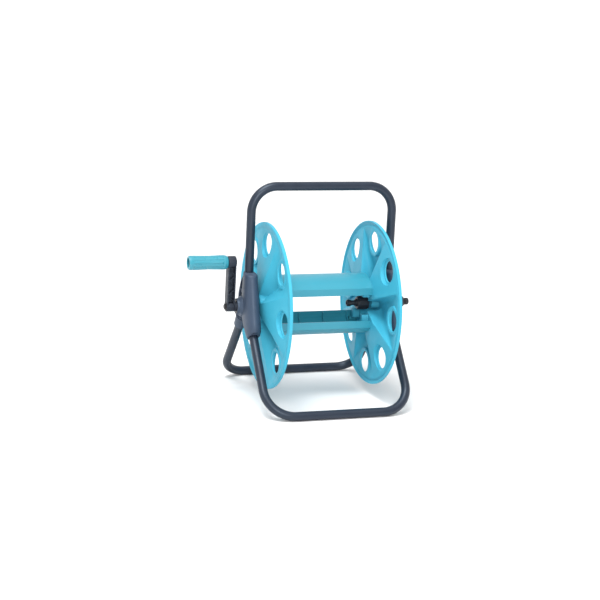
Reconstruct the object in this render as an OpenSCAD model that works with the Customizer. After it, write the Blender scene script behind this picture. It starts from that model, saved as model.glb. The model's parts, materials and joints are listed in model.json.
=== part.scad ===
// Garden hose reel: a bent-tube carry frame, two side brackets and a crank-wound reel.
// Millimetres, +Z up. The reel turns about a line along X.
// The origin is on the ground, at the centre of the whole object's footprint.

/* [Frame] */
// Outer diameter of the frame tube
tube_d = 16; // [14:1:18]
// Wall of the frame tube
tube_wall = 1.2; // [1:0.1:2]
// Width of the frame between tube centres
frame_w = 267; // [260:1:290]
// Overall height, ground to the top of the handle
frame_h = 394; // [370:1:420]
// From the axle forward to the front foot bar
front_foot = 147; // [143:1:160]
// From the axle back to the rear foot bar
rear_foot = 137; // [125:1:141]
// Height of the reel's axle above the ground
axle_h = 170.5; // [165:0.5:180]
// Lean of the handle away from the front, in degrees
handle_lean = 1.4; // [0:0.2:6]
// Bend radius at the two handle corners
handle_bend = 46; // [36:1:60]
// Bend radius at the two front foot corners
front_bend = 52; // [36:1:60]
// Bend radius at the two rear foot corners
rear_bend = 40; // [30:1:50]

/* [Side brackets] */
// Reach of each tube socket from the axle
socket_reach = 63; // [56:1:70]
// Width of the bracket body along X
bracket_w = 26; // [22:1:26]
// Diameter of the bearing boss at its outer end
bearing_boss_d = 28; // [27:1:34]

/* [Reel] */
// Outer diameter of the two flanges
flange_d = 300; // [280:2:300]
// Gap between the flange rims
rim_gap = 198; // [190:1:204]
// Wall of the flange moulding
flange_wall = 3; // [2.5:0.5:4]
// Diameter of the round holes in the flanges
hole_d = 38; // [30:1:40]
// Radius of the circle the holes sit on
hole_circle_r = 114; // [108:1:116]
// Turn of the flanges' pattern against the drum bars, in degrees
pattern_turn = 2.5; // [0:0.5:4]
// Radius of the drum that the hose winds on
drum_r = 55; // [50:1:60]
// Width of each drum bar across its lips
bar_w = 82; // [70:1:86]
// Length of the drum bars
bar_l = 176; // [170:1:176]

/* [Crank] */
// Distance from the axle to the grip's pin
crank_r = 81; // [70:1:90]
// Diameter of the grip
grip_d = 26; // [22:1:30]
// Length of the grip
grip_l = 71; // [60:1:90]

/* [Water path] */
// Diameter of the axle journals
journal_d = 18; // [17:0.5:19]
// Diameter of the water passage
water_d = 7; // [5:0.5:8]
// Diameter of the nose that takes the wound hose's coupling
nose_d = 12.4; // [11:0.2:14]
// Diameter of the nose that takes the supply hose's coupling
inlet_d = 13; // [12:0.2:14]

/* [Hidden] */
$fn = 96;
eps = 0.01;

// Colours
dark = "#43454f";
black = "#17181c";
cyan = "#52b9d6";
steel = "#303338";

// Clearances: a turning fit, a held fit and open air between bodies
run_gap = 0.05;
held_gap = 0.1;
air_gap = 0.8;

// Frame, measured from the axle
tube_r = tube_d / 2;
tube_x = frame_w / 2;
foot_z = tube_r - axle_h;
rear_rise = 8;                            // the rear legs aim this far above the axle
front_angle = atan2(front_foot, -foot_z);
rear_angle = atan2(rear_foot, rear_rise - foot_z);
front_len = norm([front_foot, foot_z]);
rear_len = norm([rear_foot, rear_rise - foot_z]);
handle_len = (frame_h - tube_r - axle_h) / cos(handle_lean);
tube_start = 30;                          // where a tube ends inside its socket

// Side brackets
socket_r = tube_r + held_gap;
body_r = 19;                              // bearing housing
boss_out = 9.5;                           // how far the bearing boss stands out
column_foot = [0, -43, -36];              // the rounded front edge of the body, foot and top
column_top = [0, -13.5, 60];
column_r1 = 12.4;
column_r2 = 11.3;
bracket_in = tube_x - bracket_w / 2;
bracket_out = tube_x + bracket_w / 2;
boss_end = bracket_out + boss_out;
screw_at = 50;                            // tube screws, from the axle along each socket
screw_r = 1.6;
screw_seat = 10.6;
screw_head_r = 3.6;
screw_head_t = 2;
web_t = 12;                               // plate behind the handle socket
pocket_depth = 4;
body_web_t = 22;

// Bushes
journal_r = journal_d / 2;
bush_r = journal_r + 3;
bush_flange_r = 15;
bush_flange_t = 2;

// Flanges, along X from the middle of the reel
rim_in = rim_gap / 2;
rim_t = 4.6;
rim_w = 12;
lip_w = 2.5;
lip_t = 1.4;
flange_r = flange_d / 2;
web_r = flange_r - rim_w;                 // where the sectors meet the rim
petal_in = bar_l / 2;                     // inner level of the raised petals
petal_r = drum_r + 3;                     // the petals are flat inside this radius
hub_in = bracket_in - bush_flange_t - air_gap - flange_wall;
hub_out = hub_in + flange_wall;
hub_r = 23;
collar_r = 11;
plug_l = 12;

// Drum bars
bar_wall = 2.5;
lip_low = 24;                             // free edge of the lips, from the axle
bar_side = bar_w / 2;
rib_pitch = 47;
boss_y = 33;                              // rivet bosses in the bars' ends
boss_z = 38;
boss_r = 4;
boss_l = 14;
rivet_r = 2;
rivet_head_r = 3.6;
rivet_head_t = 1.6;

// Crank
arm_t = 14.5;
arm_w = 17;
arm_in = boss_end + 4;
arm_out = arm_in + arm_t;
grip_in = arm_out + air_gap;
grip_out = grip_in + grip_l;
pin_r = 4;
key_w = 10;
crank_screw_r = 2.4;
washer_r = 7.2;
flute_n = 12;

// Water path
water_r = water_d / 2;
nose_r = nose_d / 2;
inlet_r = inlet_d / 2;
neck_r = nose_r - 1.7;
thread_r = 8;
ring_r = 0.78;                            // section of the seal rings
ring_groove = 1.6;
spindle_in = 80;
nut_in = 74.5;
nut_out = 95.5;
nut_r = 11.4;
neck_out = 7;                             // the connector, where it passes through the nut
nut_lip = 1.2;
nose_tip = 55;
seat_r = 6;                               // the spindle's end, inside the inlet
seat_in = boss_end + 2;
spindle_out = seat_in + 6.4;
skirt_in = seat_in + 0.6;
clip_at = seat_in + 2.4;
clip_r = 0.55;
clip_y = 5.65;
inlet_tip = 176;

// The object's box is centred on the origin along X and Y
reel_x = (grip_out - inlet_tip) / 2;
axle_y = (front_foot + tube_r - flange_r) / 2;

// ---- placing ----
module at_axle() { translate([reel_x, axle_y, axle_h]) children(); }

// Turns a shape made along Z so that it lies along X, with its own X to +Y
module along_x() { rotate([90, 0, 90]) children(); }

// The left side is the right one mirrored
module left() { mirror([1, 0, 0]) children(); }

// A ring or disc around the axle, between two distances along X
module disc(r, x1, x2, bore = 0) {
  along_x() translate([0, 0, x1]) difference() {
    cylinder(r = r, h = x2 - x1);
    if (bore > 0) translate([0, 0, -eps]) cylinder(r = bore, h = x2 - x1 + 2 * eps);
  }
}

// Turns an outline of [radius, x] points about the axle
module turned(points) { along_x() rotate_extrude() polygon(points); }

// ---- frame tubes ----
module tube_ring() {
  difference() {
    circle(r = tube_r);
    circle(r = tube_r - tube_wall);
  }
}

module straight_tube(length) { linear_extrude(length) tube_ring(); }

// Half of a U: a leg up Z at X = tube_x, a bend, and half of the cross bar at Z = length
module half_hoop(length, bend) {
  difference() {
    translate([tube_x, 0, tube_start]) straight_tube(length - bend - tube_start);
    translate([tube_x, 0, screw_at]) rotate([0, -90, 0]) cylinder(r = screw_r + held_gap, h = tube_d);
  }
  translate([tube_x - bend, 0, length - bend])
    rotate([90, 0, 0]) rotate_extrude(angle = 90) translate([bend, 0]) tube_ring();
  translate([0, 0, length]) rotate([0, 90, 0]) straight_tube(tube_x - bend);
}

module hoop(length, bend) {
  half_hoop(length, bend);
  left() half_hoop(length, bend);
}

module to_handle() { rotate([-handle_lean, 0, 0]) children(); }
module to_front() { rotate([180 - front_angle, 0, 0]) children(); }
module to_rear() { translate([0, 0, rear_rise]) rotate([180 + rear_angle, 0, 0]) children(); }

module handle_tube() { color(dark) at_axle() to_handle() hoop(handle_len, handle_bend); }
module front_leg_tube() { color(dark) at_axle() to_front() hoop(front_len, front_bend); }
module rear_leg_tube() { color(dark) at_axle() to_rear() hoop(rear_len, rear_bend); }

// ---- side brackets ----
// A tapered sleeve around one tube end, with a chamfered mouth
module sleeve(reach, r1, r2) {
  mouth = 2;
  rotate_extrude() polygon([[0, 0], [r1, 0], [r2, reach - mouth], [r2 - mouth / 2, reach], [0, reach]]);
}

module socket_bore(reach) {
  translate([0, 0, tube_start - 0.5]) cylinder(r = socket_r, h = reach);
}

// The rounded front edge of the body, from the handle socket to the front leg's
module front_column() {
  run = column_top - column_foot;
  translate(column_foot) rotate([-atan2(run[1], run[2]), 0, 0])
    cylinder(r1 = column_r1, r2 = column_r2, h = norm(run));
}

// Fills the body between its front edge and the sockets
module front_web() {
  along_x() translate([0, 0, -body_web_t / 2]) linear_extrude(body_web_t)
    polygon([[1, 57], [-12.6, 57], [column_foot[1], column_foot[2]], [-40, -43], [-32, -41], [0, -6]]);
}

// The plate behind the handle socket, running down to the rear socket
module rear_web() {
  along_x() translate([0, 0, -web_t / 2]) linear_extrude(web_t)
    polygon([[-6, 54], [10, 56], [32, 40], [45, 14], [48, -12], [50, -38], [36, -46], [0, -24], [-6, 0]]);
}

// A pocket in the plate's outer face, which leaves a rim around it
module web_pocket() {
  along_x() translate([0, 0, web_t / 2 - pocket_depth]) linear_extrude(web_t)
    polygon([[13, 44], [30, 32], [41, 10], [43, -4], [26, 6], [26, 14], [13, 26]]);
}

// Radial ribs across the pocket, a little lower than its rim
module web_ribs() {
  for (a = [10, 35, 60])
    rotate([a, 0, 0]) translate([0, body_r - 3, -1]) cube([web_t / 2 - 1, 27, 2]);
}

// A screw hole through the sleeve's wall towards the reel, with a flat seat for the head
module screw_hole() {
  translate([0, 0, screw_at]) rotate([0, -90, 0]) {
    cylinder(r = screw_r + held_gap, h = 30);
    translate([0, 0, screw_seat]) cylinder(r = screw_head_r + 0.6, h = 20);
  }
}

module bracket() {
  translate([tube_x, 0, 0]) difference() {
    union() {
      turned([[0, -bracket_w / 2], [body_r - 1, -bracket_w / 2], [body_r, -bracket_w / 2 + 1],
              [body_r, bracket_w / 2 + 1],
              [bearing_boss_d / 2, boss_end - tube_x - 1], [bearing_boss_d / 2 - 1, boss_end - tube_x],
              [0, boss_end - tube_x]]);
      to_handle() sleeve(socket_reach, 12.9, 10.9);
      to_front() sleeve(socket_reach, 12.9, 11.4);
      to_rear() sleeve(socket_reach + 5, 12.5, 11);
      front_column();
      front_web();
      difference() {
        rear_web();
        web_pocket();
      }
      web_ribs();
    }
    to_handle() socket_bore(socket_reach);
    to_front() socket_bore(socket_reach);
    to_rear() socket_bore(socket_reach + 5);
    to_handle() screw_hole();
    to_front() screw_hole();
    to_rear() screw_hole();
    disc(bush_r + run_gap, -bracket_w, boss_end);
  }
}

module left_bracket() { color(dark) at_axle() left() bracket(); }
module right_bracket() { color(dark) at_axle() bracket(); }

module bush() {
  turned([[journal_r + run_gap, bracket_in - bush_flange_t], [bush_flange_r, bracket_in - bush_flange_t],
          [bush_flange_r, bracket_in], [bush_r, bracket_in], [bush_r, boss_end], [journal_r + run_gap, boss_end]]);
}

module left_bush() { color(black) at_axle() left() bush(); }
module right_bush() { color(black) at_axle() bush(); }

// A pan-head screw that holds a tube in its socket, driven in along X
module tube_screw() {
  translate([tube_x, 0, screw_at]) rotate([0, -90, 0]) {
    translate([0, 0, tube_r - 4]) cylinder(r = screw_r, h = screw_seat - tube_r + 4);
    translate([0, 0, screw_seat]) cylinder(r1 = screw_head_r, r2 = screw_head_r - 1, h = screw_head_t);
  }
}

module handle_screws() {
  color(steel) at_axle() to_handle() {
    tube_screw();
    left() tube_screw();
  }
}

module leg_screws() {
  color(steel) at_axle() {
    for (s = [0, 1]) mirror([s, 0, 0]) {
      to_front() tube_screw();
      to_rear() tube_screw();
    }
  }
}

// ---- flanges ----
// One 45 degree slice of an outline of [radius, x] points, starting at an angle from +Y
module slice(start, points) { rotate_extrude(angle = 45, start = start) polygon(points); }

module deep_slice(start) {
  slice(start, [[hub_r - 2, hub_in], [web_r + 1, rim_in], [web_r + 1, rim_in + flange_wall], [hub_r - 2, hub_out]]);
}

module petal_slice(start) {
  slice(start, [[hub_r, petal_in], [petal_r, petal_in], [web_r + 1, rim_in],
                [web_r + 1, rim_in + flange_wall], [petal_r, petal_in + flange_wall],
                [hub_r + flange_wall, petal_in + flange_wall], [hub_r + flange_wall, hub_in],
                [hub_r, hub_in]]);
}

// The wedge-shaped wall between a deep sector and a raised petal
module petal_wall(angle) {
  t = flange_wall - 0.5;
  rotate(angle) rotate([90, 0, 0]) translate([0, 0, -t / 2]) linear_extrude(t)
    polygon([[hub_r + 2, petal_in + 0.5], [petal_r, petal_in + 0.5], [web_r, rim_in + 0.8],
             [web_r, rim_in + 1.5], [hub_r + 2, hub_in + 1]]);
}

// A block that plugs the end of a drum bar, in one quarter
module bar_plug(sy, sz) {
  y1 = 17;
  z1 = lip_low - 8;
  w = 11;
  h = 17;
  translate([sy > 0 ? y1 : -y1 - w, sz > 0 ? z1 : -z1 - h, petal_in - plug_l]) cube([w, h, plug_l + 1]);
}

module flange() {
  along_x() difference() {
    union() {
      translate([0, 0, rim_in]) difference() {
        cylinder(r = flange_r, h = rim_t);
        translate([0, 0, -1]) cylinder(r = web_r, h = rim_t + 2);
      }
      translate([0, 0, rim_in - lip_t]) difference() {
        cylinder(r = flange_r, h = rim_t + 2 * lip_t);
        translate([0, 0, -1]) cylinder(r = flange_r - lip_w, h = rim_t + 2 * lip_t + 2);
      }
      for (k = [0 : 3]) {
        deep_slice(k * 90 - 22.5 + pattern_turn);
        petal_slice(k * 90 + 22.5 + pattern_turn);
        petal_wall(k * 90 + 22.5 + pattern_turn);
        petal_wall(k * 90 - 22.5 + pattern_turn);
      }
      translate([0, 0, hub_in]) cylinder(r = hub_r + 1, h = flange_wall);
      translate([0, 0, hub_in - 14]) cylinder(r = collar_r, h = 15);
      for (sy = [-1, 1], sz = [-1, 1]) bar_plug(sy, sz);
    }
    for (k = [0 : 7]) rotate(k * 45 + pattern_turn) translate([hole_circle_r, 0, petal_in]) cylinder(d = hole_d, h = 40);
    translate([0, 0, petal_in]) cylinder(r = journal_r + held_gap / 2, h = 60);
    for (sy = [-1, 1], sz = [-1, 1])
      translate([sy * boss_y, sz * boss_z, petal_in - 20]) cylinder(r = rivet_r + held_gap, h = 40);
  }
}

module left_flange() { color(cyan) at_axle() left() flange(); }
module right_flange() { color(cyan) at_axle() flange(); }

// ---- drum bars ----
// The bar's end outline moved in by a distance, above a height
module bar_outline(inset, low) {
  intersection() {
    circle(r = drum_r - inset);
    translate([inset - bar_side, low]) square([bar_w - 2 * inset, drum_r]);
  }
}

// An arched channel between the flanges, open towards the axle, with shallow ribs inside
module bar() {
  rib_t = 2;
  rib_depth = 5;
  along_x() difference() {
    union() {
      translate([0, 0, -bar_l / 2]) linear_extrude(bar_l) difference() {
        bar_outline(0, lip_low);
        bar_outline(bar_wall, 0);
      }
      for (x = [-1.5, -0.5, 0.5, 1.5])
        translate([0, 0, x * rib_pitch - rib_t / 2]) linear_extrude(rib_t) difference() {
          bar_outline(bar_wall - 0.5, lip_low + 2);
          bar_outline(bar_wall + rib_depth, 0);
        }
      for (sy = [-1, 1], end = [-bar_l / 2, bar_l / 2 - boss_l])
        translate([sy * boss_y, boss_z, end]) cylinder(r = boss_r, h = boss_l);
    }
    for (sy = [-1, 1], end = [-bar_l / 2 - eps, bar_l / 2 - boss_l + 1 + eps])
      translate([sy * boss_y, boss_z, end]) cylinder(r = rivet_r + held_gap / 2, h = boss_l - 1);
  }
}

module upper_bar() { color(cyan) at_axle() bar(); }
module lower_bar() { color(cyan) at_axle() mirror([0, 0, 1]) bar(); }

module bar_rivets() {
  color(cyan) at_axle()
    for (s = [0, 1]) mirror([s, 0, 0]) along_x()
      for (sy = [-1, 1], sz = [-1, 1]) translate([sy * boss_y, sz * boss_z, petal_in]) {
        translate([0, 0, 2 - boss_l]) cylinder(r = rivet_r, h = boss_l - 2 + flange_wall);
        translate([0, 0, flange_wall]) cylinder(r1 = rivet_head_r, r2 = rivet_head_r - 1.2, h = rivet_head_t);
      }
}

// ---- crank, on the left ----
module drive_shaft() {
  color(dark) at_axle() left() difference() {
    union() {
      disc(journal_r, hub_in - 14, arm_in - 0.5);
      translate([arm_in - 1, -key_w / 2, -key_w / 2]) cube([arm_t - 2, key_w, key_w]);
    }
    disc(crank_screw_r + held_gap, arm_in - 8, arm_out);
  }
}

// Zigzag ribs between the arm's inner and outer walls
module arm_ribs() {
  n = 5;
  z0 = 9;
  z1 = crank_r - 11;
  step = (z1 - z0) / n;
  rib_t = 1.6;
  for (k = [0 : n - 1]) {
    up = k % 2;
    translate([arm_in, -arm_w / 2 + 1, z0 + k * step]) rotate([90, 0, 0]) translate([0, 0, -arm_w + 2])
      linear_extrude(arm_w - 2) polygon(up == 0
        ? [[0, 0], [arm_t, step - rib_t], [arm_t, step], [0, rib_t]]
        : [[arm_t, 0], [arm_t, rib_t], [0, step], [0, step - rib_t]]);
  }
}

module crank_arm() {
  wall = 2.6;
  color(dark) at_axle() left() difference() {
    union() {
      disc(9, arm_in, arm_out);
      translate([0, 0, crank_r]) disc(11, arm_in, arm_out);
      translate([arm_in, -arm_w / 2, 0]) cube([wall, arm_w, crank_r]);
      translate([arm_out - wall, -arm_w / 2, 0]) cube([wall, arm_w, crank_r]);
      translate([arm_in, -1.25, 0]) cube([arm_t, 2.5, crank_r]);
      arm_ribs();
    }
    translate([arm_in - 1, -key_w / 2 - held_gap, -key_w / 2 - held_gap])
      cube([arm_t - 1.5, key_w + 2 * held_gap, key_w + 2 * held_gap]);
    disc(crank_screw_r + 2 * held_gap, arm_in, arm_out + 1);
    translate([0, 0, crank_r]) disc(pin_r + held_gap / 2, arm_in - 1, arm_out + 1);
  }
}

module crank_washer() {
  color(steel) at_axle() left() disc(washer_r, arm_out, arm_out + 1, crank_screw_r + 2 * held_gap);
}

module crank_screw() {
  color(steel) at_axle() left()
    turned([[0, arm_in - 7], [crank_screw_r, arm_in - 7], [crank_screw_r, arm_out + 1], [5.2, arm_out + 1],
            [5.2, arm_out + 2], [3.6, arm_out + 3.4], [0, arm_out + 3.4]]);
}

module grip_pin() {
  head_at = grip_out - 6;
  color(steel) at_axle() left() translate([0, 0, crank_r])
    turned([[0, arm_in - 1.5], [6, arm_in - 1.5], [6, arm_in], [pin_r, arm_in], [pin_r, head_at],
            [7, head_at], [7, head_at + 1.5], [5, head_at + 3], [0, head_at + 3]]);
}

module crank_grip() {
  r = grip_d / 2;
  color(cyan) at_axle() left() translate([0, 0, crank_r]) difference() {
    turned([[pin_r + run_gap, grip_in], [r - 2.5, grip_in], [r - 1, grip_in + 2], [r, grip_in + 6],
            [r - 0.8, grip_in + grip_l / 2], [r, grip_out - 3], [r - 1.5, grip_out],
            [9, grip_out], [9, grip_out - 6.4], [pin_r + run_gap, grip_out - 6.4]]);
    for (k = [0 : flute_n - 1]) rotate([k * 360 / flute_n, 0, 0]) translate([grip_in + 9, 0, r + 0.9])
      rotate([0, 90, 0]) cylinder(r = 2.2, h = grip_l - 17, $fn = 32);
  }
}

// ---- water path, on the right ----
module water_spindle() {
  groove = seat_r - ring_groove;
  color(cyan) at_axle()
    turned([[water_r, spindle_in], [thread_r, spindle_in], [thread_r, nut_out + 0.5], [10, nut_out + 0.5],
            [10, hub_in - 14], [journal_r, hub_in - 14], [journal_r, boss_end + 0.4],
            [journal_r - 1.2, boss_end + 0.4], [journal_r - 1.2, boss_end + 1.5],
            [journal_r, boss_end + 1.5], [journal_r, seat_in], [seat_r, seat_in],
            [seat_r, clip_at - 0.8], [seat_r - 1, clip_at - 0.8], [seat_r - 1, clip_at + 0.8],
            [seat_r, clip_at + 0.8], [seat_r, spindle_out - 2.4], [groove, spindle_out - 2.4],
            [groove, spindle_out - 0.6], [seat_r, spindle_out - 0.6], [seat_r, spindle_out],
            [water_r, spindle_out]]);
}

module spindle_clip() {
  color(steel) at_axle() disc(journal_r + 2.2, boss_end + 0.5, boss_end + 1.4, journal_r - 1.1);
}

module o_ring(x, r) {
  along_x() translate([0, 0, x]) rotate_extrude() translate([r, 0]) circle(r = ring_r, $fn = 32);
}

module spindle_ring() { color(black) at_axle() o_ring(spindle_out - 1.5, seat_r - ring_r); }

// Outline of a push-on nose, from its base at 0 to its tip, with a groove for a seal ring
function nose(x0, d, len) = [
  [neck_r + 1.4, x0], [neck_r + 1.4, x0 + d * 1.5], [neck_r, x0 + d * 2.5], [neck_r, x0 + d * (len - 8)],
  [nose_r, x0 + d * (len - 7)], [nose_r, x0 + d * (len - 5.4)], [nose_r - ring_groove, x0 + d * (len - 5.4)],
  [nose_r - ring_groove, x0 + d * (len - 3.6)], [nose_r, x0 + d * (len - 3.6)], [nose_r, x0 + d * (len - 1.4)],
  [nose_r - 1.4, x0 + d * len], [water_r, x0 + d * len]];

module hose_connector() {
  base = nut_in - 2.5;
  color(black) at_axle()
    turned(concat([[water_r, spindle_in - 2], [thread_r - 0.4, spindle_in - 2], [thread_r - 0.4, nut_in + nut_lip],
                   [neck_out, nut_in + nut_lip], [neck_out, base]], nose(base, -1, base - nose_tip)));
}

// Knurled nut that clamps the connector on the spindle
module hose_nut() {
  ribs = 24;
  color(black) at_axle() {
    turned([[neck_out + held_gap, nut_in], [nut_r - 0.8, nut_in], [nut_r, nut_in + nut_lip], [nut_r, nut_out],
            [thread_r + held_gap, nut_out], [thread_r + held_gap, nut_in + nut_lip],
            [neck_out + held_gap, nut_in + nut_lip]]);
    for (k = [0 : ribs - 1]) rotate([k * 360 / ribs, 0, 0])
      translate([nut_in + 3, -0.6, nut_r - 0.4]) cube([nut_out - nut_in - 5, 1.2, 1.3]);
  }
}

module hose_seal() { color(black) at_axle() disc(thread_r - 0.4, spindle_in - 2, spindle_in, water_r + 0.3); }

module hose_nose_ring() { color(black) at_axle() o_ring(nose_tip + 4.5, nose_r - ring_r - 0.02); }

// The inlet's nose is short, with its seal ring right behind the tip
function inlet_nose(x0) = [
  [neck_r, x0], [neck_r, x0 + 1.6], [inlet_r, x0 + 2.6], [inlet_r, inlet_tip - 5.2],
  [inlet_r - ring_groove, inlet_tip - 5.2], [inlet_r - ring_groove, inlet_tip - 3.4], [inlet_r, inlet_tip - 3.4],
  [inlet_r, inlet_tip - 1.4], [inlet_r - 1.4, inlet_tip], [water_r, inlet_tip]];

module inlet_connector() {
  base = spindle_out + 2;
  color(black) at_axle() difference() {
    turned(concat([[water_r, spindle_out + 0.3], [seat_r + run_gap, spindle_out + 0.3],
                   [seat_r + run_gap, skirt_in], [9.5, skirt_in], [9.5, base - 1.5], [8.5, base - 0.5],
                   [neck_r, base - 0.5]], inlet_nose(base)));
    for (s = [-1, 1]) translate([clip_at, s * clip_y, -11]) cylinder(r = clip_r + held_gap, h = 22);
  }
}

// A wire staple through the inlet that runs in the spindle's groove and keeps the two together
module inlet_clip() {
  top = 10.4;
  color(steel) at_axle() translate([clip_at, 0, 0]) {
    for (s = [-1, 1]) {
      translate([0, s * clip_y, -9.5]) cylinder(r = clip_r, h = 9.5 + top);
      translate([0, s * clip_y, top]) sphere(r = clip_r);
    }
    translate([0, -clip_y, top]) rotate([-90, 0, 0]) cylinder(r = clip_r, h = 2 * clip_y);
  }
}

module inlet_nose_ring() { color(black) at_axle() o_ring(inlet_tip - 4.3, inlet_r - ring_r - 0.02); }

handle_tube();
front_leg_tube();
rear_leg_tube();
left_bracket();
right_bracket();
left_bush();
right_bush();
handle_screws();
leg_screws();
left_flange();
right_flange();
upper_bar();
lower_bar();
bar_rivets();
drive_shaft();
crank_arm();
crank_screw();
crank_washer();
grip_pin();
crank_grip();
water_spindle();
spindle_clip();
spindle_ring();
hose_connector();
hose_nut();
hose_seal();
hose_nose_ring();
inlet_connector();
inlet_clip();
inlet_nose_ring();
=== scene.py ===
import json
import math

import bmesh
import bpy
from mathutils import Matrix, Vector
from mathutils.geometry import delaunay_2d_cdt


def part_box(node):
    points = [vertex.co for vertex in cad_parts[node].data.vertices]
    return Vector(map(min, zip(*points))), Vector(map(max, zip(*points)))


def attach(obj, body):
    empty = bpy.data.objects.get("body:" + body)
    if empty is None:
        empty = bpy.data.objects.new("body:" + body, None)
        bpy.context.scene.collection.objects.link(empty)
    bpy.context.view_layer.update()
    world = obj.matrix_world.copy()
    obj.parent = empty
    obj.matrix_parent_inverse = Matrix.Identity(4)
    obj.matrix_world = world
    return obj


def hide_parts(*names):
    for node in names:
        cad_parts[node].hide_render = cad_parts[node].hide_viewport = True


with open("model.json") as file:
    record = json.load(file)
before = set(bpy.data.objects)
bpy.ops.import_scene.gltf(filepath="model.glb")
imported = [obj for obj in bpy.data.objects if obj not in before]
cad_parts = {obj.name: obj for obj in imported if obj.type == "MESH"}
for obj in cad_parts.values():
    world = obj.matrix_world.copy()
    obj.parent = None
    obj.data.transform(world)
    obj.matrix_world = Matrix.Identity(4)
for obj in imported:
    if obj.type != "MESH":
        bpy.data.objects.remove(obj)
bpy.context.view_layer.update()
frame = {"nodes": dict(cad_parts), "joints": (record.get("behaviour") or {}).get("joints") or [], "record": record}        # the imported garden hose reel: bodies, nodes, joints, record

MM = 0.001
BLUISH = (0.72, 0.86, 1.0)     # tint of the dark parts' highlights

# ---------------------------------------------------------------- materials


class Nodes:
    """A short way to build a material's node tree."""

    def __init__(self, name):
        self.material = bpy.data.materials.new(name)
        self.material.use_nodes = True
        self.tree = self.material.node_tree
        self.tree.nodes.clear()
        self.shader = self.add("ShaderNodeBsdfPrincipled")
        output = self.add("ShaderNodeOutputMaterial")
        self.link(self.shader.outputs["BSDF"], output.inputs["Surface"])
        self.place = self.add("ShaderNodeTexCoord").outputs["Object"]

    def add(self, kind, **settings):
        node = self.tree.nodes.new(kind)
        for key, value in settings.items():
            setattr(node, key, value)
        return node

    def link(self, a, b):
        self.tree.links.new(a, b)

    def noise(self, scale, detail=2.0, roughness=0.5, stretch=None):
        """Noise in object space, at a number of features per metre."""
        node = self.add("ShaderNodeTexNoise")
        node.inputs["Scale"].default_value = scale
        node.inputs["Detail"].default_value = detail
        node.inputs["Roughness"].default_value = roughness
        source = self.place
        if stretch:
            mapping = self.add("ShaderNodeMapping")
            mapping.inputs["Scale"].default_value = stretch
            self.link(source, mapping.inputs["Vector"])
            source = mapping.outputs["Vector"]
        self.link(source, node.inputs["Vector"])
        return node.outputs["Fac"]

    def ramp(self, value, low, high, out_low=0.0, out_high=1.0):
        node = self.add("ShaderNodeMapRange", clamp=True)
        for key, number in (("From Min", low), ("From Max", high),
                            ("To Min", out_low), ("To Max", out_high)):
            node.inputs[key].default_value = number
        self.link(value, node.inputs["Value"])
        return node.outputs["Result"]

    def mix(self, factor, a, b):
        node = self.add("ShaderNodeMix", data_type="RGBA")
        self.link(factor, node.inputs["Factor"])
        for socket, colour in ((node.inputs["A"], a), (node.inputs["B"], b)):
            if isinstance(colour, tuple):
                socket.default_value = (*colour, 1.0)
            else:
                self.link(colour, socket)
        return node.outputs["Result"]

    def bump(self, height, strength, distance, under=None):
        node = self.add("ShaderNodeBump")
        node.inputs["Strength"].default_value = strength
        node.inputs["Distance"].default_value = distance
        self.link(height, node.inputs["Height"])
        if under:
            self.link(under, node.inputs["Normal"])
        return node.outputs["Normal"]


def moulded(name, colour, deep, pale, rough, grain=900.0, relief=0.12, specular=0.5, tint=(1.0, 1.0, 1.0),
            edge_wear_and_highlight=0.0):
    """Injection-moulded plastic: slow flow marks in the colour, a fine grain, pale scuffs, and pale convex
    edges that are partly rubbed and partly a painted highlight.
    """
    n = Nodes(name)
    flow = n.noise(16.0, 4.0, 0.55)
    body = n.mix(n.ramp(flow, 0.35, 0.7), deep, colour)
    scuffs = n.ramp(n.noise(110.0, 6.0, 0.7, (1.0, 3.0, 1.0)), 0.60, 0.72)
    scuffs_and_edge_highlight = n.ramp(scuffs, 0.0, 1.0, 0.0, 0.12)
    if edge_wear_and_highlight:                                      # only where the mesh is fine enough to know its edges
        # pale convex edges from Pointiness: partly rubbed edges, partly a painted highlight along them
        edges = n.ramp(n.add("ShaderNodeNewGeometry").outputs["Pointiness"], 0.52, 0.60, 0.0, edge_wear_and_highlight)
        both = n.add("ShaderNodeMath", operation="MAXIMUM")
        n.link(scuffs_and_edge_highlight, both.inputs[0])
        n.link(edges, both.inputs[1])
        scuffs_and_edge_highlight = both.outputs[0]
    n.link(n.mix(scuffs_and_edge_highlight, body, pale), n.shader.inputs["Base Color"])
    gloss = n.ramp(n.noise(60.0, 5.0, 0.6), 0.3, 0.75, rough - 0.06, rough + 0.10)
    n.link(gloss, n.shader.inputs["Roughness"])
    n.shader.inputs["Specular IOR Level"].default_value = specular
    n.shader.inputs["Specular Tint"].default_value = (*tint, 1.0)
    grainy = n.bump(n.noise(grain, 3.0, 0.6), relief, 0.0002)
    n.link(n.bump(n.noise(45.0, 2.0), 0.05, 0.0006, grainy), n.shader.inputs["Normal"])
    return n.material


def powder_coat(name, colour, deep, pale, rough):
    """Satin powder coat on bent steel tube: orange peel, faint mottling and a few dull rubs."""
    n = Nodes(name)
    body = n.mix(n.ramp(n.noise(30.0, 5.0, 0.6), 0.3, 0.7), deep, colour)
    speck = n.ramp(n.noise(900.0, 2.0), 0.62, 0.72, 0.0, 0.5)
    rubs = n.ramp(n.noise(38.0, 8.0, 0.75), 0.62, 0.74, 0.0, 0.35)
    both = n.add("ShaderNodeMath", operation="MAXIMUM")
    n.link(speck, both.inputs[0])
    n.link(rubs, both.inputs[1])
    n.link(n.mix(both.outputs[0], body, pale), n.shader.inputs["Base Color"])
    gloss = n.ramp(n.noise(70.0, 4.0, 0.6), 0.3, 0.7, rough - 0.05, rough + 0.09)
    n.link(gloss, n.shader.inputs["Roughness"])
    n.shader.inputs["Specular IOR Level"].default_value = 0.5
    n.shader.inputs["Specular Tint"].default_value = (*BLUISH, 1.0)
    peel = n.bump(n.noise(420.0, 2.0, 0.5), 0.25, 0.0002)
    n.link(peel, n.shader.inputs["Normal"])
    return n.material


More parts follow.
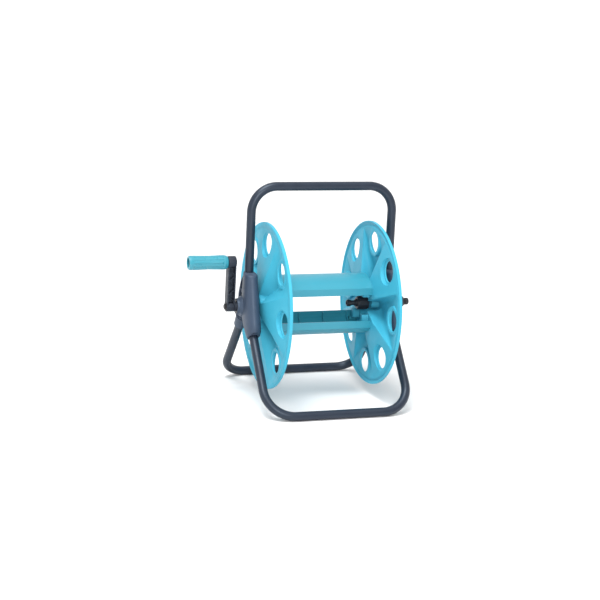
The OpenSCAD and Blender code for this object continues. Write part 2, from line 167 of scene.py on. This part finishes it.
def zinc(name):
    """Black zinc-plated steel: brushed in one direction, with paler patches."""
    n = Nodes(name)
    n.link(n.mix(n.ramp(n.noise(140.0, 4.0), 0.35, 0.65), (0.030, 0.031, 0.036), (0.062, 0.060, 0.060)),
           n.shader.inputs["Base Color"])
    n.shader.inputs["Metallic"].default_value = 1.0
    n.link(n.ramp(n.noise(500.0, 3.0), 0.3, 0.7, 0.28, 0.46), n.shader.inputs["Roughness"])
    n.link(n.bump(n.noise(900.0, 2.0, 0.5, (1.0, 6.0, 6.0)), 0.12, 0.0001), n.shader.inputs["Normal"])
    return n.material


def rubber(name):
    """Black nitrile rubber with a dusty bloom."""
    n = Nodes(name)
    n.link(n.mix(n.ramp(n.noise(260.0, 4.0), 0.4, 0.75), (0.010, 0.010, 0.011), (0.035, 0.035, 0.036)),
           n.shader.inputs["Base Color"])
    n.link(n.ramp(n.noise(180.0, 3.0), 0.3, 0.7, 0.60, 0.80), n.shader.inputs["Roughness"])
    n.link(n.bump(n.noise(1400.0, 2.0), 0.15, 0.0001), n.shader.inputs["Normal"])
    return n.material


MATERIALS = {
    "frame_tube": powder_coat("frame_tube", (0.014, 0.019, 0.032), (0.011, 0.015, 0.026),
                              (0.029, 0.036, 0.052), 0.36),
    # the bracket's last figure sets its pale edges: partly rubbed, partly a painted highlight
    "bracket_plastic": moulded("bracket_plastic", (0.036, 0.052, 0.084), (0.030, 0.045, 0.074),
                               (0.115, 0.135, 0.180), 0.46, 700.0, 0.22, 0.45, BLUISH, 0.5),
    "crank_plastic": moulded("crank_plastic", (0.018, 0.020, 0.030), (0.014, 0.016, 0.024),
                             (0.055, 0.058, 0.072), 0.42, 700.0, 0.20, 0.4, BLUISH),
    "bush_plastic": moulded("bush_plastic", (0.020, 0.021, 0.025), (0.015, 0.016, 0.019),
                            (0.05, 0.052, 0.06), 0.36),
    # the flange's pale edges, set by the last figure: partly rubbed, partly a painted highlight
    "flange_plastic": moulded("flange_plastic", (0.048, 0.360, 0.500), (0.043, 0.340, 0.478),
                              (0.095, 0.48, 0.63), 0.40, 1100.0, 0.08, 0.12, edge_wear_and_highlight=0.55),
    "bar_plastic": moulded("bar_plastic", (0.030, 0.262, 0.350), (0.027, 0.248, 0.334),
                           (0.06, 0.33, 0.42), 0.34, 1100.0, 0.02, 0.5),
    "grip_plastic": moulded("grip_plastic", (0.034, 0.265, 0.340), (0.029, 0.248, 0.320),
                            (0.09, 0.40, 0.49), 0.28, 1100.0, 0.03, 0.6),
    "spindle_plastic": moulded("spindle_plastic", (0.018, 0.140, 0.205), (0.016, 0.130, 0.190),
                               (0.08, 0.34, 0.45), 0.38, 1100.0, 0.08, 0.3),
    "connector_plastic": moulded("connector_plastic", (0.016, 0.019, 0.026), (0.012, 0.014, 0.020),
                                 (0.050, 0.054, 0.064), 0.38, 800.0, 0.16),
    "steel": zinc("steel"),
    "seal_rubber": rubber("seal_rubber"),
}

SLOT_OF = {s["node"]: s["material_slot"] for s in frame["record"]["subparts"]}


def dress(obj, slot):
    """Gives a piece one finish."""
    obj.data.materials.clear()
    obj.data.materials.append(MATERIALS[slot])


for name, node in frame["nodes"].items():
    dress(node, SLOT_OF[name])

# ---------------------------------------------------------------- places and sizes, in millimetres

MID = [(a + b) / 2 / MM for a, b in zip(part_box("left_flange")[0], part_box("right_flange")[1])]
AXLE = [c / MM for c in next(j for j in frame["joints"] if j["name"] == "reel_spin")["pos_m"]]
CENTRE = Vector((MID[0], AXLE[1], AXLE[2]))      # the axle, in the middle of the reel


def span(node):
    """How far a CAD node reaches along the axle, from the middle of the reel."""
    low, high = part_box(node)
    return low[0] / MM - CENTRE[0], high[0] / MM - CENTRE[0]


TUBE_R = 8.0
TUBE_X = (span("handle_tube")[1] - span("handle_tube")[0]) / 2 - TUBE_R      # a side tube's centre line

# ---------------------------------------------------------------- mesh helpers

BEVEL_ANGLE = 35.0


def piece(name, solid, body, stands_for, slot, side, sharp, bevel=0.0):
    """A mesh from a solid's points in mm about the axle. side=-1 mirrors it to the left."""
    mesh = bpy.data.meshes.new(name)
    place = [((CENTRE[0] + side * x) * MM, (CENTRE[1] + y) * MM, (CENTRE[2] + z) * MM)
             for x, y, z in solid.points]
    mesh.from_pydata(place, [], solid.faces)
    bm = bmesh.new()
    bm.from_mesh(mesh)
    bmesh.ops.recalc_face_normals(bm, faces=bm.faces)
    bm.to_mesh(mesh)
    bm.free()
    mesh.shade_smooth()
    mesh.set_sharp_from_angle(angle=math.radians(sharp))
    obj = bpy.data.objects.new(name, mesh)
    bpy.context.scene.collection.objects.link(obj)
    if bevel:
        soften(obj, bevel)
    dress(obj, slot)
    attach(obj, body)
    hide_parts(*stands_for)


def soften(obj, width):
    """Rounds the edges that are sharper than BEVEL_ANGLE, as a mould leaves them. The width is in mm."""
    bevel = obj.modifiers.new("rounded edges", "BEVEL")
    bevel.width = width * MM
    bevel.segments = 2
    bevel.limit_method = "ANGLE"
    bevel.angle_limit = math.radians(BEVEL_ANGLE)
    bevel.harden_normals = True


class Solid:
    """Collects closed shells of points and faces, about the axle."""

    def __init__(self):
        self.points = []
        self.faces = []

    def add(self, points, faces, move=None):
        base = len(self.points)
        for p in points:
            self.points.append(tuple(move(p)) if move else tuple(p))
        self.faces += [tuple(base + i for i in face) for face in faces]

    def rings(self, rings, move=None, closed=True):
        """Joins equal rings of points. closed joins the last ring to the first, else the ends are capped."""
        n, points, faces = len(rings[0]), [p for ring in rings for p in ring], []
        last = len(rings) if closed else len(rings) - 1
        for i in range(last):
            j = (i + 1) % len(rings)
            for k in range(n):
                m = (k + 1) % n
                faces.append((i * n + k, i * n + m, j * n + m, j * n + k))
        if not closed:
            faces.append(tuple(range(n))[::-1])
            faces.append(tuple((len(rings) - 1) * n + k for k in range(n)))
        self.add(points, faces, move)

    def plate(self, outline, x0, x1):
        """A flat plate with a given (y, z) outline."""
        self.rings([[(x, y, z) for y, z in outline] for x in (x0, x1)], closed=False)

    def box(self, low, high):
        (x0, y0, z0), (x1, y1, z1) = low, high
        self.plate([(y0, z0), (y1, z0), (y1, z1), (y0, z1)], x0, x1)


def rounded(corners, steps=4):
    """A closed outline from [a, b, corner radius] points, with arcs at the corners."""
    outline = []
    for i, (a, b, radius) in enumerate(corners):
        here = Vector((a, b))
        before = Vector(corners[i - 1][:2]) - here
        after = Vector(corners[(i + 1) % len(corners)][:2]) - here
        if radius <= 0:
            outline.append(here)
            continue
        half = before.angle(after) / 2
        reach = min(radius / math.tan(half), 0.49 * before.length, 0.49 * after.length)
        to_before, to_after = before.normalized(), after.normalized()
        start, end = here + to_before * reach, here + to_after * reach
        middle = here + (to_before + to_after).normalized() * (reach / math.cos(half))
        turn = (start - middle).angle_signed(end - middle)
        for k in range(steps + 1):
            spoke = (start - middle).copy()
            spoke.rotate(Matrix.Rotation(-turn * k / steps, 2))
            outline.append(middle + spoke)
    return outline


def lathe(solid, corners, sides, move=None):
    """Turns a closed outline of [radius, x, corner radius] points about the axle."""
    outline = rounded(corners)
    turns = [math.tau * k / sides for k in range(sides)]
    solid.rings([[(x, r * math.cos(t), r * math.sin(t)) for r, x in outline] for t in turns], move)

# ---------------------------------------------------------------- flanges

TURN = 2.5                    # the pattern's turn against the drum bars, in degrees
SECTOR = 45                   # a petal or a deep sector, in degrees
HALF_SECTOR = 22.5
HUB_IN, RIM_IN, PETAL_IN, WALL = 114.7, 99.0, 88.0, 3.0     # levels from the reel's middle, and thickness
HUB_R, PETAL_R, WEB_R = 21.0, 58.0, 138.0
HOLE_R, HOLE_CIRCLE = 19.0, 114.0
STEP_R = 24.2                 # where the petals start, outside the hub
HUB_SLOPE = 1.6               # how far the petals' inner end takes to rise
BORE_R = 9.05
EDGE_R = 0.9                  # the round along a petal's edge
DRAFT = 0.7                   # how far a petal's steep wall leans outwards
FOOT_R = 9.0                  # the fillet at the foot of a wall
LIP_R = 0.8                   # the round at a hole's edge
NARROW, WIDE = 23.0, 25.0     # the radius of the level collar round a hole
COLLAR_SLOPE = 1.5
RIM_TURNS, HOLE_TURNS = 240, 64
HOLES = [(HOLE_CIRCLE * math.cos(math.radians(SECTOR * k + TURN)),
          HOLE_CIRCLE * math.sin(math.radians(SECTOR * k + TURN))) for k in range(8)]
RIM_INNER = [(138, 99.0), (139.6, 99.0), (141, 100.1), (142.2, 101.0), (143.6, 101.2), (145, 100.7),
             (146.4, 99.3), (147.6, 98.1), (148.6, 97.8), (149.4, 98.0), (149.9, 98.8)]
RIM_OUTER = [(138, 102.0), (139.6, 102.2), (141, 102.7), (142.2, 103.2), (143.6, 103.5), (145, 103.5),
             (146.4, 103.5), (147.6, 103.5), (148.6, 103.5), (149.4, 103.2), (149.9, 102.4)]


def clamp(x):
    return max(0.0, min(1.0, x))


def along(table, r):
    """Reads a [radius, level] profile at a radius."""
    for (r0, u0), (r1, u1) in zip(table, table[1:]):
        if r <= r1:
            return u0 + (u1 - u0) * clamp((r - r0) / (r1 - r0))
    return table[-1][1]


def deep_level(r):
    return HUB_IN + (RIM_IN - HUB_IN) * clamp((r - HUB_R) / (WEB_R - HUB_R))


def petal_level(r):
    return PETAL_IN + (RIM_IN - PETAL_IN) * clamp((r - PETAL_R) / (WEB_R - PETAL_R))


def into_petal(y, z):
    """Distance into the nearest petal from its straight edge, negative in a deep sector."""
    turn = (math.degrees(math.atan2(z, y)) - TURN) % (2 * SECTOR)
    return math.hypot(y, z) * math.sin(math.radians(HALF_SECTOR - abs(turn - SECTOR)))


def hole_distance(y, z):
    return min(math.hypot(y - a, z - b) for a, b in HOLES)


def collar(u, q, reach, base):
    """Levels the face round a hole: base out to the collar's radius, then back to u."""
    return base + (u - base) * clamp((q - reach) / COLLAR_SLOPE)


def hole_lip(q):
    """How far the face falls back at a hole's rounded edge."""
    return LIP_R - math.sqrt(max(0.0, LIP_R ** 2 - (HOLE_R + LIP_R - q) ** 2))


def inner_level(y, z):
    """The face towards the hose: raised petals with a sharp edge, and a wide fillet at the walls' feet."""
    r, s = math.hypot(y, z), into_petal(y, z)
    if r >= WEB_R - 0.01:
        return along(RIM_INNER, r)
    low, high = petal_level(r), deep_level(r)
    height = high - low
    if s > 0 and r > STEP_R:
        edge = min(s, r - STEP_R)
        u = low + (EDGE_R - math.sqrt(EDGE_R ** 2 - (EDGE_R - edge) ** 2) if edge < EDGE_R else 0.0)
        u = min(u, high)
    elif s > 0:
        u = low + height * clamp(0.05 + (STEP_R - r) / HUB_SLOPE)
    else:
        d, foot, top = -s, min(FOOT_R, 0.85 * height), EDGE_R * clamp(height / 5)
        if d < DRAFT:
            u = low + top + (height - foot - top) * d / DRAFT
        elif foot > 0 and d < DRAFT + foot:
            u = high - foot + math.sqrt(max(0.0, foot ** 2 - (foot - (d - DRAFT)) ** 2))
        else:
            u = high
        if r < STEP_R:
            u += (high - u) * clamp((STEP_R - r) / HUB_SLOPE)
    q = hole_distance(y, z)
    if q < HOLE_R + LIP_R:
        return RIM_IN + hole_lip(q)
    return collar(u, q, NARROW if s > 0 else WIDE, RIM_IN)


def outer_level(y, z):
    """The face away from the hose: a pocket with broad slanted sides behind every petal."""
    r, s = math.hypot(y, z), into_petal(y, z)
    if r >= WEB_R - 0.01:
        return along(RIM_OUTER, r)
    low, high = petal_level(r) + WALL, deep_level(r) + WALL
    margin, side_slope, hub_slope = 1.0, 25.0, 9.0
    fall = clamp(min((s - margin) / side_slope, (r - STEP_R - margin) / hub_slope))
    u = high + (low - high) * fall
    q = hole_distance(y, z)
    if q < HOLE_R + LIP_R:
        return RIM_IN + WALL - hole_lip(q)
    return collar(u, q, WIDE if s > 0 else NARROW, RIM_IN + WALL)


class Plan:
    """Points over the flange's plane, and the closed loops that bound it."""

    CELL = 3                  # side of a search cell, wider than any gap asked for

    def __init__(self):
        self.points, self.cells, self.loops = [], {}, []

    def cell(self, p):
        return int(p[0] // self.CELL), int(p[1] // self.CELL)

    def near(self, p, gap):
        cell = self.cell(p)
        for i in range(cell[0] - 1, cell[0] + 2):
            for j in range(cell[1] - 1, cell[1] + 2):
                for k in self.cells.get((i, j), ()):
                    if math.dist(self.points[k], p) < gap:
                        return True
        return False

    def add(self, p, gap=0.0):
        """Adds a point. With a gap, it is left out near another point, a hole's edge, the bore or the rim."""
        r = math.hypot(*p)
        if gap and (self.near(p, gap) or r < BORE_R + 0.3 or r > 149.6
                    or hole_distance(*p) < HOLE_R + 0.2):
            return None
        self.points.append(p)
        self.cells.setdefault(self.cell(p), []).append(len(self.points) - 1)
        return len(self.points) - 1

    def ring(self, centre, radius, count, gap=0.0, closed=False):
        made = [self.add((centre[0] + radius * math.cos(math.tau * k / count),
                          centre[1] + radius * math.sin(math.tau * k / count)), gap) for k in range(count)]
        if closed:
            self.loops.append(made)


def flange_plan():
    """The plan's loops, then points where the faces bend, then an even filling."""
    plan = Plan()
    plan.ring((0, 0), RIM_INNER[-1][0], RIM_TURNS, closed=True)
    plan.ring((0, 0), BORE_R, 48, closed=True)
    for centre in HOLES:
        plan.ring(centre, HOLE_R, HOLE_TURNS, closed=True)
    for r, _ in RIM_INNER[:-1]:
        plan.ring((0, 0), r, RIM_TURNS)
    for centre in HOLES:
        for extra in (0.25, LIP_R):
            plan.ring(centre, HOLE_R + extra, HOLE_TURNS)
        for radius in (NARROW, NARROW + COLLAR_SLOPE, WIDE, WIDE + COLLAR_SLOPE):
            plan.ring(centre, radius, 72, 0.35)
    for k in range(8):
        a = math.radians(SECTOR * k + HALF_SECTOR + TURN)
        into = 1 if k % 2 == 0 else -1                     # which side of this edge the petal lies on
        across = (-math.sin(a) * into, math.cos(a) * into)
        for s in (0.0, 0.3, 0.9, -0.35, -0.7, -1.4, -2.4, -4.0, -6.0, -8.2, -9.7, 1.0, 2.6, 26.0):
            for i in range(76):
                r = 22.0 + 1.55 * i
                p = (r * math.cos(a) + s * across[0], r * math.sin(a) + s * across[1])
                if r < WEB_R - 0.5 and math.hypot(*p) < WEB_R - 0.4:
                    plan.add(p, 0.25)
    for r in (11.0, 14.0, 18.0, 21.0, 22.6, 24.2, 25.1, 26.0, 28.0, 31.0, 34.2, 38.0, 42.5, 47.0, 52.0, 57.0,
              58.5):
        plan.ring((0, 0), r, int(math.tau * r / 3.0), 0.8)
    r = 61.5
    while r < WEB_R - 2:
        plan.ring((0, 0), r, int(math.tau * r / 4.2), 1.5)
        r += 4.0
    return plan


def flange_mesh():
    """Both faces of a flange over one triangulated plan, with the walls that join them at every opening."""
    plan = flange_plan()
    edges = [(loop[i], loop[(i + 1) % len(loop)]) for loop in plan.loops for i in range(len(loop))]
    spots, _, triangles, origins, _, _ = delaunay_2d_cdt(
        [Vector(p) for p in plan.points], edges, [], 0, 1e-5)
    index = {}
    for i, came in enumerate(origins):
        for o in came:
            index[o] = i
    faces = []
    for tri in triangles:
        y, z = (sum(spots[i][c] for i in tri) / 3 for c in (0, 1))
        if math.hypot(y, z) < BORE_R or hole_distance(y, z) < HOLE_R:
            continue
        faces.append(tuple(tri))
    n = len(spots)
    points = [(level(p.x, p.y), p.x, p.y) for level in (inner_level, outer_level) for p in spots]
    both = faces + [tuple(n + i for i in reversed(f)) for f in faces]
    for loop in plan.loops:
        ids = [index[i] for i in loop]
        for i, a in enumerate(ids):
            b = ids[(i + 1) % len(ids)]
            both.append((a, b, n + b, n + a))
    return points, both


def flange(side, name, node):
    """The dished disc, the sleeve round the axle and the four plugs that the drum bars push onto."""
    solid = Solid()
    solid.add(*flange_mesh())
    sleeve_r, sleeve_in, sleeve_out = 11.0, 100.7, 116.0
    lathe(solid, [(BORE_R, sleeve_in, 0.6), (sleeve_r, sleeve_in, 1.0), (sleeve_r, sleeve_out, 0),
                  (BORE_R, sleeve_out, 0)], 48)
    y0, y1, z0, z1, corner_r = 17, 28, 16.5, 33, 1.5
    plug = rounded([(y0, z0, corner_r), (y1, z0, corner_r), (y1, z1, corner_r), (y0, z1, corner_r)], 3)
    for sy in (-1, 1):
        for sz in (-1, 1):
            tip = [(p[0] * sy, p[1] * sz) for p in plug]
            middle = ((y0 + y1) / 2 * sy, (z0 + z1) / 2 * sz)
            rings = [[(u, middle[0] + (y - middle[0]) * k, middle[1] + (z - middle[1]) * k) for y, z in tip]
                     for u, k in ((89.5, 1.0), (77.2, 1.0), (76.3, 0.96), (76.0, 0.86))]
            solid.rings(rings, closed=False)
    piece(name, solid, "reel", [node], "flange_plastic", side, 32.0)


flange(1, "right_flange_shell", "right_flange")
flange(-1, "left_flange_shell", "left_flange")

# ---------------------------------------------------------------- side brackets

HANDLE_LEAN = math.radians(1.4)
HANDLE_DIR = Vector((0.0, math.sin(HANDLE_LEAN), math.cos(HANDLE_LEAN)))
FRONT_DIR = Vector((0.0, -147.0, -162.5)).normalized()
REAR_DIR = Vector((0.0, 137.0, -170.5)).normalized()
REAR_START = Vector((0.0, 0.0, 8.0))
ALONG_AXLE = Vector((1.0, 0.0, 0.0))
TUBE_LINE = Vector((TUBE_X, 0.0, 0.0))
CAPSULE_SIDES, SOCKET_SIDES = 56, 48
SQUARENESS = 0.86                                   # below 1, a section's sides are flatter than an ellipse's
MOUTH = ((8.1, 7.0), (8.5, 1.2), (9.3, 0.1))        # a tube mouth's lip: radius, and depth from its plane
END_ROUND = ((1.6, 0.0), (0.7, -0.35), (0.15, -1.1))    # a body end's round: inset, and lift from its plane


def capsule(solid, stations, mouth_top, mouth_bottom):
    """The smooth body round the handle tube and the front leg.

    A station is rear (y, z), front (y, z) and half width. A mouth is a centre and the way out of it.
    """
    turns = [math.tau * k / CAPSULE_SIDES for k in range(CAPSULE_SIDES)]

    def section(rear, front, half, shrink=0.0):
        middle, arm = (Vector(rear) + Vector(front)) / 2, (Vector(front) - Vector(rear)) / 2
        arm *= (arm.length - shrink) / arm.length
        ring = []
        for t in turns:
            c, s = math.cos(t), math.sin(t)
            c, s = (math.copysign(abs(v) ** SQUARENESS, v) for v in (c, s))
            ring.append((TUBE_X + (half - shrink) * s, middle.x + arm.x * c, middle.y + arm.y * c))
        return ring

    def mouth(centre, direction, radius, back):
        """A round lip about a tube, with as many points round as a section."""
        across = direction.cross(ALONG_AXLE)
        if across.y > 0:
            across = -across
        at = centre - direction * back
        return [tuple(TUBE_LINE + at + radius * (across * math.cos(t) + ALONG_AXLE * math.sin(t)))
                for t in turns]

    def end(station, centre, direction):
        """From inside a mouth, round its lip and out to the body's full section."""
        rear, front, half = station
        made = [mouth(centre, direction, r, back) for r, back in MOUTH]
        for shrink, lift in END_ROUND:
            shift = Vector(direction.yz) * lift
            made.append(section(Vector(rear) + shift, Vector(front) + shift, half, shrink))
        return made

    between = [section(*s) for s in spline(stations, 5)[1:-1]]
    top, bottom = end(stations[0], *mouth_top), end(stations[-1], *mouth_bottom)
    solid.rings(top + between + bottom[::-1], closed=False)


def spline(stations, steps):
    """A smooth run of stations through the given ones."""
    flat = [(*a, *b, c) for a, b, c in stations]
    run = []
    for i in range(len(flat) - 1):
        p0, p1, p2, p3 = flat[max(i - 1, 0)], flat[i], flat[i + 1], flat[min(i + 2, len(flat) - 1)]
        for k in range(steps):
            t = k / steps
            run.append([0.5 * (2 * b + (c - a) * t + (2 * a - 5 * b + 4 * c - d) * t * t
                               + (3 * b - a - 3 * c + d) * t ** 3) for a, b, c, d in zip(p0, p1, p2, p3)])
    run.append(flat[-1])
    return [((s[0], s[1]), (s[2], s[3]), s[4]) for s in run]


def socket(solid, start, direction, profile):
    """A turned socket along a tube, from [distance, radius] points."""
    across = direction.cross(ALONG_AXLE)
    turns = [math.tau * k / SOCKET_SIDES for k in range(SOCKET_SIDES)]
    rings = []
    for d, r in profile:
        at = TUBE_LINE + start + direction * d
        rings.append([tuple(at + r * (across * math.cos(t) + ALONG_AXLE * math.sin(t))) for t in turns])
    solid.rings(rings, closed=False)


def bracket(side, name, node):
    """The body round the two front tubes, the bearing housing, the rear leg's socket and a ribbed web."""
    solid = Solid()
    leg_end, handle_end = FRONT_DIR * 63.0, HANDLE_DIR * 62.5
    across = Vector((FRONT_DIR.z, -FRONT_DIR.y))
    if across.x > 0:
        across = -across
    rear_end, front_end = leg_end.yz - across * 11.8, leg_end.yz + across * 12.6
    capsule(solid, [((11.6, 62.5), (-25.5, 61.0), 11.3), ((12.2, 50.0), (-29.5, 49.0), 12.0),
                    ((13.0, 33.0), (-35.0, 32.0), 12.8), ((13.4, 14.0), (-42.0, 12.0), 13.5),
                    ((12.0, -2.0), (-48.5, -6.0), 13.9), ((6.0, -16.0), (-53.5, -18.0), 14.1),
                    ((-5.0, -29.0), (-56.5, -27.5), 14.0), ((-19.0, -42.0), (-56.5, -34.0), 13.2),
                    (tuple(rear_end), tuple(front_end), 11.4)],
            (handle_end, HANDLE_DIR), (leg_end, FRONT_DIR))
    # the bearing housing flares towards the bracket, and ends in a plain rim round the bush
    lathe(solid, [(12.1, 121.0, 0), (18.5, 121.0, 0), (18.8, 144.5, 0), (18.3, 147.6, 1.5),
                  (14.6, 152.2, 2.0), (13.9, 155.9, 0.7), (12.1, 155.9, 0.5)], 72)
    # the rear leg's socket with its recessed mouth, and four ribs round it
    socket(solid, REAR_START, REAR_DIR, [(0, 12.2), (26, 12.5), (50, 11.9), (65, 11.3), (67.2, 11.1),
                                         (67.9, 10.4), (68.0, 9.3), (67.0, 8.5), (61.0, 8.1)])
    for d in (26, 31, 36, 41):
        socket(solid, REAR_START, REAR_DIR, [(d - 0.8, 11.0), (d - 0.8, 13.0), (d - 0.4, 13.5),
                                             (d + 0.4, 13.5), (d + 0.8, 13.0), (d + 0.8, 11.0)])
    # the web behind the handle socket, with a raised rim and three ribs
    rim = rounded([(8, 57, 2), (19, 54, 7), (34, 40, 12), (45, 16, 16), (48, -8, 12), (47, -30, 8),
                   (36, -40, 4), (20, -10, 4), (8, -10, 2)], 5)
    web_in, web_out, rim_out, rim_w = TUBE_X - 5.0, TUBE_X - 1.2, TUBE_X + 4.6, 3.0
    solid.plate([tuple(p) for p in rim], web_in, web_out)
    inset = [p + (Vector((26, 14)) - p).normalized() * rim_w for p in rim]
    solid.rings([[(x, *q) for x, q in ((web_in, a), (rim_out, a), (rim_out, b), (web_in, b))]
                 for a, b in zip(rim, inset)])
    near, far = 14, 44                              # where a rib starts and ends, from the axle
    for angle in (8, 32, 58):
        c, s = math.cos(math.radians(angle)), math.sin(math.radians(angle))
        rib = [(near * c + s, near * s - c), (far * c + s, far * s - c),
               (far * c - s, far * s + c), (near * c - s, near * s + c)]
        solid.plate(rib, TUBE_X - 3.0, TUBE_X + 3.0)
    piece(name, solid, "frame", [node], "bracket_plastic", side, 38.0)


bracket(1, "right_bracket_body", "right_bracket")
bracket(-1, "left_bracket_body", "left_bracket")

# ---------------------------------------------------------------- CAD pieces that stay, with moulded edges

for node, width in (("upper_bar", 0.7), ("lower_bar", 0.7), ("hose_nut", 0.25),
                    ("hose_connector", 0.3), ("inlet_connector", 0.3), ("drive_shaft", 0.3)):
    soften(frame["nodes"][node], width)

# ---------------------------------------------------------------- crank

ARM_IN, ARM_OUT = 160.0, 174.5      # the arm's two faces, from the reel's middle
CRANK_R = 81.0                      # from the axle to the grip's pin


def crank():
    """An open I-beam arm with zigzag ribs, between a round hub and a round boss for the grip's pin."""
    solid = Solid()
    hub_r, screw_bore, boss_r, pin_bore = 9.0, 2.7, 11.0, 4.1
    lathe(solid, [(screw_bore, ARM_IN, 0), (hub_r, ARM_IN, 0.8), (hub_r, ARM_OUT, 1.4),
                  (screw_bore, ARM_OUT, 0)], 56)
    lathe(solid, [(pin_bore, ARM_IN, 0), (boss_r, ARM_IN, 1.2), (boss_r, ARM_OUT, 1.4),
                  (pin_bore, ARM_OUT, 0)], 64, lambda p: (p[0], p[1], p[2] + CRANK_R))
    wall, half_w, half_web, low, high = 2.6, 8.5, 1.25, 5.0, CRANK_R - 7.0
    sunk_in, sunk_out = ARM_IN + 1.0, ARM_OUT - 1.0     # the web and ribs end inside the walls
    solid.box((ARM_IN, -half_w, low), (ARM_IN + wall, half_w, high))
    solid.box((ARM_OUT - wall, -half_w, low), (ARM_OUT, half_w, high))
    solid.box((sunk_in, -half_web, low), (sunk_out, half_web, high))
    ribs, first, last, thick = 5, 9.0, CRANK_R - 11.0, 1.6
    step = (last - first) / ribs
    for k in range(ribs):
        z = first + k * step
        a, b = (sunk_in, sunk_out) if k % 2 == 0 else (sunk_out, sunk_in)
        corners = [(a, z), (a, z + thick), (b, z + step), (b, z + step - thick)]
        solid.rings([[(u, y, h) for u, h in corners] for y in (1.0 - half_w, half_w - 1.0)], closed=False)
    piece("crank_body", solid, "reel", ["crank_arm"], "crank_plastic", -1, 38.0, 0.45)


crank()

# ---------------------------------------------------------------- stage, light and camera


def floor():
    """A pale, plain floor that reaches past the horizon of every view."""
    n = Nodes("floor")
    n.link(n.mix(n.ramp(n.noise(3.0, 3.0), 0.3, 0.7), (0.78, 0.78, 0.78), (0.81, 0.81, 0.81)),
           n.shader.inputs["Base Color"])
    n.link(n.ramp(n.noise(8.0, 2.0), 0.3, 0.7, 0.75, 0.85), n.shader.inputs["Roughness"])
    n.shader.inputs["Specular IOR Level"].default_value = 0.1
    mesh = bpy.data.meshes.new("floor")
    bm = bmesh.new()
    bmesh.ops.create_circle(bm, cap_ends=True, segments=96, radius=60.0)
    bm.to_mesh(mesh)
    bm.free()
    mesh.materials.append(n.material)
    obj = bpy.data.objects.new("floor", mesh)
    bpy.context.scene.collection.objects.link(obj)
    obj.location.z = -0.2 * MM


def hang(lamp, direction):
    """Puts a lamp in the scene, shining in a direction."""
    obj = bpy.data.objects.new(lamp.name, lamp)
    bpy.context.scene.collection.objects.link(obj)
    obj.rotation_mode = "QUATERNION"
    obj.rotation_quaternion = direction.to_track_quat("-Z", "Y")
    return obj


def soft_light(name, place, size, power):
    """A round soft box that points at the middle of the reel."""
    lamp = bpy.data.lights.new(name, "AREA")
    lamp.shape = "DISK"
    lamp.size = size
    lamp.energy = power
    hang(lamp, Vector((0.0, 0.0, 0.18)) - Vector(place)).location = place


def studio():
    """A white surround, brightest above and behind and darker low in front."""
    world = bpy.data.worlds.new("studio")
    world.use_nodes = True
    tree = world.node_tree
    sky = tree.nodes["Background"]
    sky.inputs["Color"].default_value = (1.0, 1.0, 1.0, 1.0)
    height = tree.nodes.new("ShaderNodeVectorMath")
    height.operation = "DOT_PRODUCT"
    height.inputs[1].default_value = (0.0, 0.8, 0.6)
    tree.links.new(tree.nodes.new("ShaderNodeTexCoord").outputs["Generated"], height.inputs[0])
    strength = tree.nodes.new("ShaderNodeMapRange")
    for key, number in (("From Min", -0.75), ("From Max", -0.05), ("To Min", 0.40), ("To Max", 0.97)):
        strength.inputs[key].default_value = number
    tree.links.new(height.outputs["Value"], strength.inputs["Value"])
    tree.links.new(strength.outputs["Result"], sky.inputs["Strength"])
    bpy.context.scene.world = world


def light():
    """Soft boxes from above left and from the front, and a broad light from overhead."""
    studio()
    soft_light("key", (-0.9, -0.8, 3.1), 0.9, 42.0)
    soft_light("front", (-0.45, -2.2, 1.05), 0.8, 26.0)
    sun = bpy.data.lights.new("overhead", "SUN")
    sun.energy = 1.7
    sun.angle = math.radians(40.0)
    hang(sun, Vector((0.25, 0.2, -1.0)))


def camera():
    """The camera looks slightly down at the reel from the front left, with a small tilt."""
    azimuth, elevation, roll = math.radians(-19.4), math.radians(13.83), math.radians(3.13)
    distance = 2.82425                                     # from the camera to the aim point, in metres
    lens = 93.57
    aim = Vector((35.15, 2.5, 200.0)) * MM
    aim_right, aim_up = 19.01 / 600, 11.97 / 600           # the aim point from the middle, in frame widths
    back = Vector((math.sin(azimuth) * math.cos(elevation), -math.cos(azimuth) * math.cos(elevation),
                   math.sin(elevation)))
    right = Vector((math.cos(azimuth), math.sin(azimuth), 0.0))
    up = back.cross(right)
    tilted_right = math.cos(roll) * right + math.sin(roll) * up
    tilted_up = math.cos(roll) * up - math.sin(roll) * right
    data = bpy.data.cameras.new("camera")
    data.lens = lens
    data.sensor_width = 36.0
    data.clip_start, data.clip_end = 0.05, 200.0
    frame_w = distance * data.sensor_width / lens          # width of the view at the aim point
    place = aim + back * distance - tilted_right * (aim_right * frame_w) - tilted_up * (aim_up * frame_w)
    obj = bpy.data.objects.new("camera", data)
    bpy.context.scene.collection.objects.link(obj)
    turn = Matrix((tilted_right, tilted_up, back)).transposed()
    obj.matrix_world = Matrix.Translation(place) @ turn.to_4x4()
    bpy.context.scene.camera = obj


floor()
light()
camera()
bpy.context.scene.view_settings.view_transform = "Standard"
